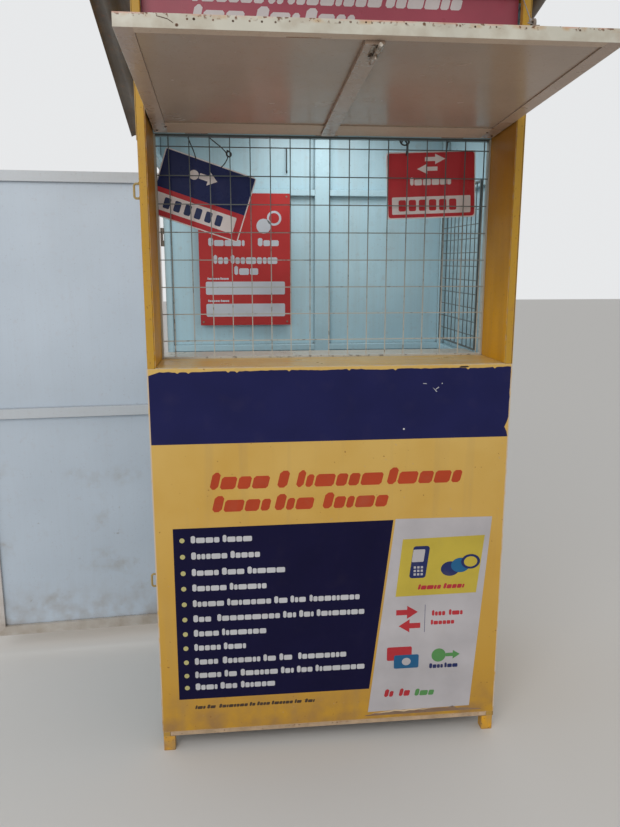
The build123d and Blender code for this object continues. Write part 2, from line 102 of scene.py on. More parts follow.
def part(tree, kind, inputs=None, output=0, **settings):
    """Add a shader node and return one of its outputs."""
    return add_node(tree, "ShaderNode" + kind, inputs, **settings).outputs[output]


def calculate(tree, operation, *values):
    """Combine two or more values, one after the other."""
    result = values[0]
    for value in values[1:]:
        result = part(tree, "Math", {0: result, 1: value}, operation=operation)
    return result


def any_of(tree, *shares):
    """The largest of several shares."""
    return calculate(tree, "MAXIMUM", *shares)


studio = bpy.data.worlds.new("studio")
studio.use_nodes = True
bpy.context.scene.world = studio
tree = studio.node_tree
tree.nodes.clear()
seen = add_node(tree, "ShaderNodeLightPath").outputs
shown = any_of(tree, seen["Is Camera Ray"], seen["Is Transmission Ray"], seen["Is Glossy Ray"])
lit = part(tree, "Background", {"Color": (1, 1, 1, 1), "Strength": sky_light})
plain = part(tree, "Background", {"Color": (*sky_colour, 1), "Strength": 1.0})
mixed = part(tree, "MixShader", {0: shown, 1: lit, 2: plain})
add_node(tree, "ShaderNodeOutputWorld", {"Surface": mixed})

bpy.ops.mesh.primitive_plane_add(size=60)
floor = bpy.context.object
floor.name = "studio_floor"
floor_finish = bpy.data.materials.new("studio_floor")
floor_finish.use_nodes = True
floor_shader = floor_finish.node_tree.nodes["Principled BSDF"]
floor_shader.inputs["Base Color"].default_value = (*floor_colour, 1)
floor_shader.inputs["Roughness"].default_value = 0.9
floor.data.materials.append(floor_finish)

for name, place, aim, size, power in (
    ("front_lamp", (-2.2, -4.6, 4.2), (0, 0, 1.3), 3.2, 110),
    ("room_lamp", (0.05, 0.44, 2.24), (0.05, 0.50, 1.0), 0.45, 3.9),
):
    lamp = bpy.data.lights.new(name, "AREA")
    lamp.size = size
    lamp.energy = power
    lamp_object = placed(name, lamp)
    lamp_object.location = place
    lamp_object.rotation_euler = (Vector(aim) - Vector(place)).to_track_quat("-Z", "Y").to_euler()


# Frame: posts, rails and feet of square tube, welded at the corners and brushed over with
# yellow gloss paint outside and pale blue inside. It is dusty, bare in spots along the edges
# and rusty near the ground.

yellow = (0.53, 0.29, 0.022)
pale_blue = (0.44, 0.64, 0.72)
dust = (0.30, 0.22, 0.14)
rust = (0.14, 0.055, 0.022)
primer = (0.45, 0.34, 0.27)
# A dark brown laid into corners and joints: painted shade, with some grime.
corner_shade_and_grime = (0.055, 0.040, 0.028)


def place_of(tree):
    return part(tree, "TexCoord", output="Object")


def height_of(tree):
    return part(tree, "SeparateXYZ", {0: place_of(tree)}, 2)


def ramp(tree, value, low, high):
    """0 where a value is at its low limit, 1 at its high one, and even between."""
    return part(tree, "MapRange", {"Value": value, "From Min": low, "From Max": high})


def tinted(colour, share):
    """A colour made lighter or darker."""
    return tuple(min(1.0, channel * share) for channel in colour)


def patches(tree, scale, low, high, stretch=(1, 1, 1), detail=4.0):
    """Cloudy patches from 0 to 1; narrow limits make hard-edged specks."""
    place = part(tree, "Mapping", {"Vector": place_of(tree), "Scale": stretch})
    cloud = part(tree, "TexNoise", {"Vector": place, "Scale": scale, "Detail": detail})
    return ramp(tree, cloud, low, high)


def times(tree, *shares):
    """The product of several shares."""
    return calculate(tree, "MULTIPLY", *shares)


def between(tree, share, first, second):
    """Mix two colours, each a plain colour or the output of a node."""
    ends = [(*end, 1) if isinstance(end, tuple) else end for end in (first, second)]
    return part(tree, "Mix", {0: share, 6: ends[0], 7: ends[1]}, 2, data_type="RGBA")


def over(tree, base, colour, *shares):
    """Lay a colour over another one, as strongly as the product of the shares."""
    return between(tree, times(tree, *shares), base, colour)


def mottled(tree, colour, scale, dark, light):
    """A colour that drifts between a darker and a lighter tint of itself."""
    return between(tree, patches(tree, scale, 0.3, 0.7), tinted(colour, dark), tinted(colour, light))


def beyond(tree, direction, limit, soft=0.0004, origin=(0, 0, 0)):
    """1 where the place measured along a direction is past a limit, 0 before it."""
    offset = part(tree, "VectorMath", {0: place_of(tree), 1: origin}, operation="SUBTRACT")
    inputs = {0: offset, 1: tuple(direction)}
    reach = part(tree, "VectorMath", inputs, "Value", operation="DOT_PRODUCT")
    return ramp(tree, reach, limit - soft, limit + soft)


def edges(tree, radius):
    """1 along the sharp edges of a piece, 0 on its flats."""
    rounded = part(tree, "Bevel", {"Radius": radius}, samples=4)
    flat = part(tree, "NewGeometry", output="Normal")
    same = part(tree, "VectorMath", {0: rounded, 1: flat}, "Value", operation="DOT_PRODUCT")
    return ramp(tree, same, 0.99, 0.80)


def seam_shade_and_grime(tree, reach=0.014):
    """1 deep in corners and along joints, where shade falls and grime gathers, 0 in the open."""
    light = part(tree, "AmbientOcclusion", {"Distance": reach}, "AO", samples=6)
    return ramp(tree, light, 0.62, 0.30)


def finish_of(name, colour, roughness, *given, bump=0.05, waves=0.0, metallic=0.0, gloss=0.3):
    """A material whose colour is worked out by a function of its node tree and of what is given."""
    material = bpy.data.materials.new(name)
    material.use_nodes = True
    tree = material.node_tree
    shader = tree.nodes["Principled BSDF"].inputs
    shader["Metallic"].default_value = metallic
    shader["Specular IOR Level"].default_value = gloss
    tree.links.new(colour(tree, *given), shader["Base Color"])
    ends = {"Value": patches(tree, 9.0, 0.2, 0.8), "To Min": roughness * 0.75, "To Max": roughness * 1.25}
    tree.links.new(part(tree, "MapRange", ends), shader["Roughness"])
    grain = part(tree, "TexNoise", {"Vector": place_of(tree), "Scale": 220.0, "Detail": 3.0})
    relief = part(tree, "Bump", {"Height": grain, "Strength": bump, "Distance": 0.002})
    if waves:
        swell = part(tree, "TexNoise", {"Vector": place_of(tree), "Scale": 2.4, "Detail": 1.0})
        inputs = {"Height": swell, "Strength": waves, "Distance": 0.03, "Normal": relief}
        relief = part(tree, "Bump", inputs)
    tree.links.new(relief, shader["Normal"])
    return material


skin_depth = 0.0012
sign_gap = 0.004
half_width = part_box("right_wall")[1].x - skin_depth
rear_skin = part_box("rear_wall")[1].y - skin_depth
front_skin = 0.0275
sign_low, sign_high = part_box("header_sign")


def weathered(tree, base, streaks, specks, wear, dirt_and_seam_shade, brushed=0.10):
    """Lay brush marks, dust, rust, painted shade and grime in corners, and bare edges over a colour."""
    base = over(tree, base, dust, patches(tree, 1.0, 0.35, 0.65, (170, 170, 2.2), 2.0), brushed)
    base = over(tree, base, dust, patches(tree, 1.0, 0.50, 0.80, (26, 26, 1.3)), streaks)
    low = ramp(tree, height_of(tree), 0.34, 0.02)
    base = over(tree, base, dust, low, patches(tree, 17.0, 0.35, 0.75), 0.8)
    base = over(tree, base, tinted(rust, 2.4), patches(tree, 38.0, 0.60, 0.74, detail=3.0), specks, 0.5)
    base = over(tree, base, rust, patches(tree, 130.0, 0.67, 0.71, detail=2.0), specks)
    # Painted shade and grime, darkest deep in corners and along joints.
    base = over(tree, base, corner_shade_and_grime, seam_shade_and_grime(tree), dirt_and_seam_shade)
    return over(tree, base, primer, edges(tree, 0.003), patches(tree, 38.0, 0.44, 0.60), wear)


def worn_paint(name, colour, inside=None, streaks=0.35, specks=0.5, wear=0.6, roughness=0.42,
               waves=0.0, gloss=0.3, brushed=0.10):
    """Brushed paint on steel, of one colour or of one outside the booth and one inside."""
    def colour_of(tree):
        base = mottled(tree, colour, 3.1, 0.88, 1.06)
        runs, spots = streaks, specks
        if inside:
            in_sign_bay = times(tree, beyond(tree, (0, 0, 1), sign_low.z - sign_gap),
                                beyond(tree, (0, -1, 0), -sign_high.y - sign_gap))
            outside = any_of(tree, beyond(tree, (1, 0, 0), half_width), beyond(tree, (-1, 0, 0), half_width),
                             beyond(tree, (0, 1, 0), rear_skin), beyond(tree, (0, -1, 0), -front_skin),
                             in_sign_bay)
            base = between(tree, outside, mottled(tree, inside, 2.3, 0.93, 1.04), base)
            weather = part(tree, "MapRange", {"Value": outside, "To Min": 0.3})
            runs, spots = times(tree, weather, streaks), times(tree, weather, specks)
        return weathered(tree, base, runs, spots, wear, 0.75, brushed)
    return finish_of(name, colour_of, roughness, waves=waves, gloss=gloss)


def dress(material, *names):
    """Give CAD nodes a material in place of the plain one they came with."""
    for name in names:
        nodes[name].data.materials.clear()
        nodes[name].data.materials.append(material)


booth_paint = worn_paint("booth_paint", yellow, inside=pale_blue, wear=0.85)
dress(booth_paint, "front_posts", "rear_posts", "base_rails_side")
dress(booth_paint, "head_rails_long", "head_rails_side", "door_head_rail")
dress(worn_paint("foot_paint", (0.80, 0.40, 0.02), streaks=0.2, specks=1.0, wear=1.0, gloss=0.15), "feet")
dress(worn_paint("lip_paint", (0.60, 0.43, 0.28), specks=1.0), "base_rails_long")


# Walls, floor and inner members: flat sheet tacked to the frame, yellow on the weather side
# and pale blue gloss inside. The floor is plain steel, dusty. The tacks show as small domes.

wall_paint = worn_paint("wall_paint", yellow, inside=pale_blue, streaks=0.50, specks=0.8,
                        wear=0.4, roughness=0.30, waves=0.5, brushed=0.05)
dress(wall_paint, "rear_wall", "right_wall", "left_fascia")
room_paint = worn_paint("room_paint", pale_blue, streaks=0.1, specks=0.1, wear=0.25, roughness=0.3,
                        brushed=0.05)
dress(room_paint, "rear_wall_stud", "rear_wall_girts", "right_wall_girts")
dress(room_paint, "counter_rails", "grille_head_rail")
dress(worn_paint("floor_steel", (0.20, 0.17, 0.14), streaks=0.1, specks=0.8, roughness=0.6), "floor_sheet")


def head_rule():
    """Geometry nodes that set a round head, with a washer below it, on each point of a mesh."""
    rule = bpy.data.node_groups.new("fastener_heads", "GeometryNodeTree")
    face = rule.interface
    face.new_socket("Geometry", in_out="INPUT", socket_type="NodeSocketGeometry")
    for socket in ("Head radius", "Head height", "Washer radius", "Smallest"):
        face.new_socket(socket, in_out="INPUT", socket_type="NodeSocketFloat")
    face.new_socket("Outward", in_out="INPUT", socket_type="NodeSocketVector")
    face.new_socket("Finish", in_out="INPUT", socket_type="NodeSocketMaterial")
    face.new_socket("Geometry", in_out="OUTPUT", socket_type="NodeSocketGeometry")
    given = add_node(rule, "NodeGroupInput").outputs

    def step(kind, inputs, output=0, **settings):
        return add_node(rule, kind, inputs, **settings).outputs[output]

    radius = given["Head radius"]
    crown = part(rule, "Math", {0: radius, 1: 0.55}, operation="MULTIPLY")
    cone = {"Vertices": 10, "Radius Top": crown, "Radius Bottom": radius, "Depth": given["Head height"]}
    head = step("GeometryNodeMeshCone", cone, "Mesh")
    disc = {"Vertices": 12, "Radius": given["Washer radius"], "Depth": 0.001}
    washer = step("GeometryNodeMeshCylinder", disc, "Mesh")
    both = add_node(rule, "GeometryNodeJoinGeometry")
    rule.links.new(washer, both.inputs[0])
    rule.links.new(head, both.inputs[0])
    turn = step("FunctionNodeAlignEulerToVector", {"Vector": given["Outward"]}, axis="Z")
    size = step("FunctionNodeRandomValue", {2: given["Smallest"], 3: 1.0, "Seed": 5}, 1)
    copies = {"Points": given["Geometry"], "Instance": both.outputs[0], "Rotation": turn, "Scale": size}
    set_out = step("GeometryNodeInstanceOnPoints", copies)
    solid = step("GeometryNodeRealizeInstances", {"Geometry": set_out})
    dressed = step("GeometryNodeSetMaterial", {"Geometry": solid, "Material": given["Finish"]})
    add_node(rule, "NodeGroupOutput", {"Geometry": dressed})
    return rule


fastener_heads = head_rule()


def plain_mesh(source, name):
    """Turn an object with live modifiers or a curve into a plain mesh object."""
    bpy.context.view_layer.update()
    evaluated = source.evaluated_get(bpy.context.evaluated_depsgraph_get())
    data = bpy.data.meshes.new_from_object(evaluated)
    bpy.data.objects.remove(source)
    return placed(name, data)


def ride_slot(piece, body):
    """Fix a piece to a body and return it."""
    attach(piece, body)
    return piece


def heads(name, places, outward, finish, body, radius, height, washer=0.0, smallest=1.0):
    """Set fastener heads at a list of places and make them one piece."""
    data = bpy.data.meshes.new(name)
    data.from_pydata([tuple(place) for place in places], [], [])
    source = placed(name + "_points", data)
    rule = source.modifiers.new("heads", "NODES")
    rule.node_group = fastener_heads
    values = {"Head radius": radius, "Head height": height, "Washer radius": washer or radius * 0.9,
              "Smallest": smallest, "Outward": tuple(outward), "Finish": finish}
    for item in fastener_heads.interface.items_tree:
        if item.in_out == "INPUT" and item.name in values:
            rule[item.identifier] = values[item.name]
    return ride_slot(plain_mesh(source, name), body)


tack_paint = worn_paint("tack_paint", tinted(yellow, 0.9), specks=0.9, wear=0.7)
tack_radius, tack_height, smallest_tack = 0.005, 0.0012, 0.6
tack_gap, tack_inset, top_drop = 0.19, 0.013, 0.02
wall_low, wall_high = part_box("right_wall")
back_low, back_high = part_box("rear_wall")


def along(first, last):
    """Places from one point to another, about one gap of the tacks apart."""
    first, last = Vector(first), Vector(last)
    count = max(1, round((last - first).length / tack_gap))
    return [first.lerp(last, step / count) for step in range(count + 1)]


def top_line(y):
    """Height of the tacks under the right wall's sloping top, at a distance from the front."""
    share = (y - wall_low.y) / (wall_high.y - wall_low.y)
    return wall_high.z + (back_high.z - wall_high.z) * share - top_drop


side, near, far = wall_high.x, wall_low.y + tack_inset, wall_high.y - tack_inset
low_line = wall_low.z + tack_inset
right_tacks, rear_tacks = [], []
for y in (near, far):
    right_tacks += along((side, y, low_line), (side, y, top_line(y)))
right_tacks += along((side, near, top_line(near)), (side, far, top_line(far)))[1:-1]
right_tacks += along((side, near, low_line), (side, far, low_line))[1:-1]

back, left_line, right_line = back_high.y, back_low.x + tack_inset, back_high.x - tack_inset
rear_top = back_high.z - top_drop
for x in (left_line, right_line):
    rear_tacks += along((x, back, low_line), (x, back, rear_top))
for height in (low_line, rear_top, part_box("rear_wall_girts")[1].z - tack_inset):
    rear_tacks += along((left_line, back, height), (right_line, back, height))[1:-1]
for name, places, outward in (("right_wall_tacks", right_tacks, (1, 0, 0)),
                              ("rear_wall_tacks", rear_tacks, (0, 1, 0))):
    heads(name, places, outward, tack_paint, "booth", tack_radius, tack_height,
          smallest=smallest_tack)


# Window: the counter sheet, the two cheeks and the soffit of the recess, in yellow gloss, and
# the welded wire mesh in its flat-bar border. Behind the mesh the counter is pale and dusty.

# Towards the top, under the flap, the cheeks and soffit go from yellow to brown: painted shade.
recess_yellow = (0.68, 0.335, 0.010)
recess_shade_brown = (0.40, 0.178, 0.020)
counter_yellow = (0.70, 0.46, 0.11)
counter_orange = (0.62, 0.35, 0.04)
counter_pale = (0.50, 0.47, 0.40)
sill_edge = (0.58, 0.47, 0.30)
wire_lit_pale = (0.52, 0.52, 0.48)
wire_shade_dark = (0.085, 0.105, 0.105)
wire_bare = (0.09, 0.075, 0.06)
border_pale = (0.46, 0.44, 0.37)
border_thick = 0.006
mesh_low, mesh_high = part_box("window_grille")


def behind_mesh(tree):
    return beyond(tree, (0, 1, 0), mesh_low.y + 0.002)


def recess_colour(tree):
    shade_under_flap = ramp(tree, height_of(tree), mesh_low.z + 0.15, mesh_high.z - 0.10)
    base = between(tree, shade_under_flap, recess_yellow, recess_shade_brown)
    base = over(tree, base, tinted(recess_shade_brown, 0.9), patches(tree, 1.0, 0.40, 0.70, (9, 9, 2.0)), 0.5)
    base = over(tree, base, counter_pale, behind_mesh(tree))
    return weathered(tree, base, 0.10, 0.35, 0.8, 0.6)


def counter_colour(tree):
    base = between(tree, patches(tree, 5.0, 0.35, 0.70), counter_yellow, counter_orange)
    base = over(tree, base, sill_edge, patches(tree, 1.0, 0.42, 0.62, (4, 60, 60)), 0.55)
    fold = calculate(tree, "SUBTRACT", 1.0, beyond(tree, (0, 1, 0), 0.006, 0.005))
    base = over(tree, base, sill_edge, fold, patches(tree, 30.0, 0.38, 0.55))
    base = over(tree, base, counter_pale, behind_mesh(tree))
    return weathered(tree, base, 0.12, 0.4, 0.8, 0.7)


dress(finish_of("recess_paint", recess_colour, 0.40, waves=0.3, gloss=0.05), "window_cheeks", "recess_soffit")
dress(finish_of("counter_paint", counter_colour, 0.32), "counter")


# The wires are painted pale low down, where light falls, and dark towards the top, in the flap's shade.
def wire_colour(tree):
    shade_under_flap = ramp(tree, height_of(tree), mesh_low.z + 0.05, mesh_low.z + 0.60)
    base = between(tree, shade_under_flap, wire_lit_pale, wire_shade_dark)
    base = over(tree, base, wire_bare, patches(tree, 55.0, 0.58, 0.66), 0.6)
    border = any_of(tree, beyond(tree, (1, 0, 0), mesh_high.x - border_thick),
                    beyond(tree, (-1, 0, 0), -mesh_low.x - border_thick))
    return between(tree, border, base, border_pale)


dress(finish_of("wire_paint", wire_colour, 0.4), "window_grille")
dress(worn_paint("grid_paint", (0.10, 0.12, 0.12), streaks=0.0, specks=0.3, wear=0.2), "display_grid")


# Front panel: steel sheet under a yellow printed film, with a navy band along its top. The
# panel's side edges have worn to the primer. Prints are cut from film and laid on in layers.

panel_yellow = (0.69, 0.460, 0.138)
panel_low_yellow = (0.55, 0.295, 0.035)
splash_brown = (0.26, 0.15, 0.085)
rust_dots = (0.30, 0.13, 0.03)
bare_edge = (0.60, 0.49, 0.38)
navy = (0.0135, 0.015, 0.078)
box_navy = (0.008, 0.007, 0.036)
film = 0.0003
splash_high, panel_back = 0.26, 0.0015
panel_low, panel_high = (corner.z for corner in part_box("front_panel"))
panel_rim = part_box("front_panel")[1].x - 0.004


def panel_colour(tree):
    height = height_of(tree)
    # The yellow is painted darker and more orange towards the panel's foot: painted shade.
    base = between(tree, ramp(tree, height, panel_low, panel_high), panel_low_yellow, panel_yellow)
    base = over(tree, base, panel_low_yellow, patches(tree, 4.0, 0.40, 0.75), 0.5)
    base = over(tree, base, dust, patches(tree, 1.0, 0.55, 0.85, (18, 18, 1.1)), 0.30)
    splash = ramp(tree, height, splash_high, panel_low)
    base = over(tree, base, splash_brown, splash, patches(tree, 13.0, 0.35, 0.70), 0.75)
    base = over(tree, base, primer, patches(tree, 60.0, 0.68, 0.73), 0.35)
    base = over(tree, base, rust_dots, patches(tree, 85.0, 0.73, 0.76, detail=1.0), 0.8)
    bare = any_of(tree, edges(tree, 0.004), beyond(tree, (1, 0, 0), panel_rim, 0.001),
                  beyond(tree, (-1, 0, 0), panel_rim, 0.001))
    base = over(tree, base, bare_edge, bare, patches(tree, 16.0, 0.28, 0.46))
    inner = weathered(tree, mottled(tree, pale_blue, 2.3, 0.93, 1.04), 0.2, 0.3, 0.3, 0.7, 0.05)
    return between(tree, beyond(tree, (0, 1, 0), panel_back), base, inner)


dress(finish_of("panel_film", panel_colour, 0.36, waves=0.35, gloss=0.2), "front_panel")


def film_finish(name, colour, roughness=0.35, dirt_and_seam_shade=0.18, gloss=0.18):
    def colour_of(tree):
        base = mottled(tree, colour, 6.0, 0.88, 1.08)
        return over(tree, base, dust, patches(tree, 14.0, 0.55, 0.85), dirt_and_seam_shade)
    return finish_of(name, colour_of, roughness, bump=0.02, waves=0.35, gloss=gloss)


def add_print(mesh, outline, plane, low, high, material_index):
    """Add one closed flat shape, an outline in the print's own plane, to a mesh."""
    origin, across, upward = plane
    area = sum(a[0] * b[1] - b[0] * a[1] for a, b in zip(outline, outline[1:] + outline[:1]))
    points = outline if area > 0 else outline[::-1]
    outward = across.cross(upward)
    ring = [origin + across * u + upward * v for u, v in points]
    back = [mesh.verts.new(point + outward * low) for point in ring]
    front = [mesh.verts.new(point + outward * high) for point in ring]
    walls = [mesh.faces.new(front), mesh.faces.new(back[::-1])]
    for step in range(len(ring)):
        after = (step + 1) % len(ring)
        walls.append(mesh.faces.new((back[step], back[after], front[after], front[step])))
    for wall in walls:
        wall.material_index = material_index


def print_piece(name, prints, body="booth", origin=(0, 0, 0), across=(1, 0, 0),
                upward=(0, 0, 1), keep=None):
    """A piece of flat cut shapes: each print is its outlines, its finish, the layer of film it
    starts in and, if it is thicker, how many films it takes up. What lies past the line keep, a
    point and a direction, is cut off."""
    mesh = bmesh.new()
    plane = (Vector(origin), Vector(across), Vector(upward))
    data = bpy.data.meshes.new(name)
    for index, (outlines, finish, number, *films) in enumerate(prints):
        data.materials.append(finish)
        low, high = film * number, film * (number + (films[0] if films else 1))
        for outline in outlines:
            add_print(mesh, outline, plane, low, high, index)
    if keep:
        shape = mesh.verts[:] + mesh.edges[:] + mesh.faces[:]
        cut = bmesh.ops.bisect_plane(mesh, geom=shape, plane_co=keep[0], plane_no=keep[1], clear_outer=True)
        rim = [item for item in cut["geom_cut"] if isinstance(item, bmesh.types.BMEdge)]
        bmesh.ops.holes_fill(mesh, edges=rim)
    mesh.to_mesh(data)
    mesh.free()
    return ride_slot(placed(name, data), body)


def box_shape(left, right, low, high):
    return [(left, low), (right, low), (right, high), (left, high)]


def round_shape(u, v, radius, sides=24, squash=1.0):
    turn = 2 * pi / sides
    return [(u + radius * cos(turn * s), v + radius * squash * sin(turn * s)) for s in range(sides)]


def soft_box(left, right, low, high, radius, slant=0.0):
    """A box with round corners."""
    corners = []
    for u, v, start in ((right - radius, low + radius, -90), (right - radius, high - radius, 0),
                        (left + radius, high - radius, 90), (left + radius, low + radius, 180)):
        for step in range(5):
            angle = radians(start + 90 * step / 4)
            corners.append((u + radius * cos(angle) + slant * (v - low), v + radius * sin(angle)))
    return corners


def arrow_shape(u, v, length, width, way=1):
    """A block arrow that points right, or left where way is -1."""
    half, shaft, neck = width / 2, width / 5, length * 0.5
    points = [(0, -shaft), (neck, -shaft), (neck, -half), (length, 0), (neck, half), (neck, shaft),
              (0, shaft)]
    return [(u + way * (along_u - length / 2), v + across_v) for along_u, across_v in points]


def word_block(left, right, low, high, slant):
    """One plain block of dummy text with cut corners."""
    cut = 0.16 * (high - low)
    outline = [(left, low + cut), (left + cut, low), (right - cut, low), (right, low + cut),
               (right, high - cut), (right - cut, high), (left + cut, high), (left, high - cut)]
    return [(u + slant * (v - low), v) for u, v in outline]


draw = random.Random(3)


def greeked(left, words, low, high, slant=0.0, gap=0.42):
    """A line of dummy text: each word a tall block and a few lower ones of uneven width."""
    shapes = []
    body = high - low
    for word in words:
        end = left + word
        top = high + 0.36 * body
        while left < end - 0.45 * body:
            wide = min(body * draw.uniform(0.55, 0.9 if top > high else 1.7), end - left)
            shapes.append(word_block(left, left + wide, low, top, slant))
            left += wide + 0.15 * body
            top = high
        left = end + gap * body
    return shapes


# Navy band: film from side to side below the sill, its top edge torn in places, with chips
# where the yellow shows and pale scratches.

band_low, band_high, band_reach = 1.1135, 1.3515, 0.5955
band_steps, chip_share, chip_depth = 170, 0.05, 0.005
sag_from, sag_length, sag_depth = -0.56, 0.035, 0.012
notch_height, notch_reach, notch_depth = 0.035, 0.026, 0.012
torn = random.Random(7)
edge = []
for step in range(band_steps + 1):
    x = band_reach - 2 * band_reach * step / band_steps
    drop = 0.0035 * noise.noise(Vector((x * 9, 0.3, 0))) + 0.0022 * noise.noise(Vector((x * 61, 4, 0)))
    if torn.random() < chip_share:
        drop -= chip_depth
    if x < sag_from:
        drop -= sag_depth * (sag_from - x) / sag_length
    edge.append((x, band_high + drop))
right_edge = []
for step in range(1, 14):
    z = band_low + (band_high - band_low) * step / 14
    notch = notch_depth * max(0.0, 1 - abs(z - band_low - notch_height) / notch_reach)
    right_edge.append((band_reach - notch + 0.0015 * noise.noise(Vector((z * 70, 1, 0))), z))
band = [(-band_reach, band_low), (band_reach, band_low)] + right_edge + edge
navy_film = film_finish("navy_film", navy, 0.33, 0.03, gloss=0.12)
white_print = film_finish("white_print", (0.55, 0.55, 0.57))
dent_shade = film_finish("dent_shade", (0.05, 0.035, 0.022))
scratches = [
    [(0.330, 1.287), (0.334, 1.284), (0.346, 1.273), (0.343, 1.272)],
    [(0.350, 1.289), (0.352, 1.287), (0.341, 1.279), (0.340, 1.281)],
    [(0.297, 1.300), (0.309, 1.299), (0.309, 1.301), (0.298, 1.302)],
    round_shape(0.236, 1.148, 0.0035, 8), round_shape(0.362, 1.300, 0.002, 6),
]
# The dent is a dark print: painted shade in a dent at the band's top edge.
dent = [(0.417, 1.3535), (0.425, 1.3575), (0.447, 1.3575), (0.452, 1.3535), (0.440, 1.3515), (0.424, 1.3515)]
print_piece("navy_band", [([band], navy_film, 0), (scratches, white_print, 1), ([dent], dent_shade, 0)])


# Slogan: two lines of red dummy text on the yellow under the band, in slanted blocks cut from
# film.

text_slant = 0.24
red_print = film_finish("red_print", (0.47, 0.060, 0.020))
slogan = greeked(-0.414, (0.205, 0.045, 0.290, 0.270), 0.957, 1.000, text_slant)
slogan += greeked(-0.408, (0.19, 0.145, 0.220), 0.879, 0.920, text_slant)
print_piece("slogan_print", [(slogan, red_print, 0)])


# List: a navy field of film, eleven lines of pale dummy text, each with a yellow dot before
# it, and a small dark line below.

list_film = film_finish("list_film", box_navy, 0.33, 0.02, gloss=0.08)
dot_print = film_finish("dot_print", (0.50, 0.46, 0.20))
dark_print = film_finish("dark_print", (0.07, 0.045, 0.03))
list_field = [(-0.538, 0.196), (0.134, 0.195), (0.208, 0.829), (-0.538, 0.825)]
list_left, dots_at, wide_gap = -0.480, -0.509, 0.60
list_lines = (
    (0.783, (0.095, 0.10)), (0.725, (0.12, 0.105)), (0.666, (0.09, 0.075, 0.135)), (0.610, (0.115, 0.125)),
    (0.553, (0.105, 0.15, 0.045, 0.055, 0.175)), (0.497, (0.07, 0.215, 0.045, 0.05, 0.175)),
    (0.443, (0.085, 0.155)), (0.390, (0.09, 0.08)), (0.337, (0.085, 0.13, 0.045, 0.055, 0.175)),
    (0.286, (0.09, 0.045, 0.13, 0.045, 0.055, 0.175)), (0.240, (0.075, 0.06, 0.12)),
)
texts = []
for height, words in list_lines:
    texts += greeked(list_left, words, height - 0.0100, height + 0.0085, gap=wide_gap)
dots = [round_shape(dots_at, height, 0.0085) for height, words in list_lines]
small_words = (0.035, 0.035, 0.10, 0.02, 0.045, 0.075, 0.03, 0.035)
small_line = greeked(-0.485, small_words, 0.156, 0.167, text_slant, wide_gap)
print_piece("list_print", [([list_field], list_film, 0), (texts, white_print, 1), (dots, dot_print, 1),
                           (small_line, dark_print, 0)])


# Offers: a pale field of film with plain pictures of a telephone, coins, arrows and banknotes,
# and rows of dummy text.

offers_white = film_finish("offers_film", (0.50, 0.475, 0.49), 0.33, 0.10)
offers_yellow = film_finish("offers_yellow", (0.56, 0.43, 0.06))
offers_blue = film_finish("offers_blue", (0.02, 0.12, 0.26))
offers_navy = film_finish("offers_navy", (0.02, 0.03, 0.12))
offers_red = film_finish("offers_red", (0.46, 0.035, 0.045))
offers_green = film_finish("offers_green", (0.10, 0.28, 0.09))
offers_field = [(0.131, 0.102), (0.506, 0.104), (0.557, 0.829), (0.216, 0.832)]
yellow_card = [(0.222, 0.545), (0.512, 0.548), (0.534, 0.762), (0.243, 0.757)]
phone_body = soft_box(0.268, 0.326, 0.612, 0.730, 0.010, 0.12)
phone_screen = soft_box(0.276, 0.318, 0.672, 0.718, 0.004, 0.12)
key = 0.008
phone_keys = [box_shape(u, u + key, v, v + key)
              for u in (0.284, 0.2965, 0.309) for v in (0.622, 0.635, 0.648)]
coins = [round_shape(0.415 + 0.036 * step, 0.642 + 0.012 * step, 0.034, squash=0.8) for step in range(3)]
coin_face = round_shape(0.487, 0.666, 0.024, squash=0.8)
card_lines = greeked(0.300, (0.085, 0.075), 0.568, 0.583, text_slant)
swap_arrows = [arrow_shape(0.265, 0.484, 0.078, 0.050), arrow_shape(0.275, 0.432, 0.078, 0.050, -1)]
middle_lines = greeked(0.355, (0.055, 0.05), 0.466, 0.482) + greeked(0.352, (0.085,), 0.432, 0.446)
divider = box_shape(0.3290, 0.3305, 0.405, 0.510)
upper_note = soft_box(0.196, 0.286, 0.300, 0.352, 0.006)
lower_note = soft_box(0.222, 0.312, 0.268, 0.320, 0.006)
note_face = round_shape(0.267, 0.294, 0.016, squash=0.9)
green_coin = [round_shape(0.385, 0.312, 0.026), arrow_shape(0.437, 0.312, 0.052, 0.034)]
blue_lines = greeked(0.352, (0.05, 0.055), 0.262, 0.276)
last_red = greeked(0.188, (0.045, 0.045), 0.158, 0.180, 0.2)
last_green = greeked(0.300, (0.075,), 0.156, 0.176, 0.2)
print_piece("offers_print", [
    ([offers_field], offers_white, 0), ([yellow_card], offers_yellow, 1),
    ([phone_body] + blue_lines + coins[:1], offers_navy, 2),
    (coins[1:2], offers_blue, 3), (coins[2:], offers_navy, 4),
    ([phone_screen] + phone_keys, offers_white, 3), ([coin_face], offers_yellow, 5),
    (card_lines, offers_red, 2), (swap_arrows + middle_lines + last_red, offers_red, 1),
    ([divider], offers_navy, 1), ([upper_note], offers_red, 1),
    ([lower_note], offers_blue, 2), ([note_face], offers_white, 3),
    (green_coin + last_green, offers_green, 1),
])


# Torn film: along the panel's foot the film has torn away. Bare brown steel shows, and a lip
# of film as thin as the rest curls off the sheet.

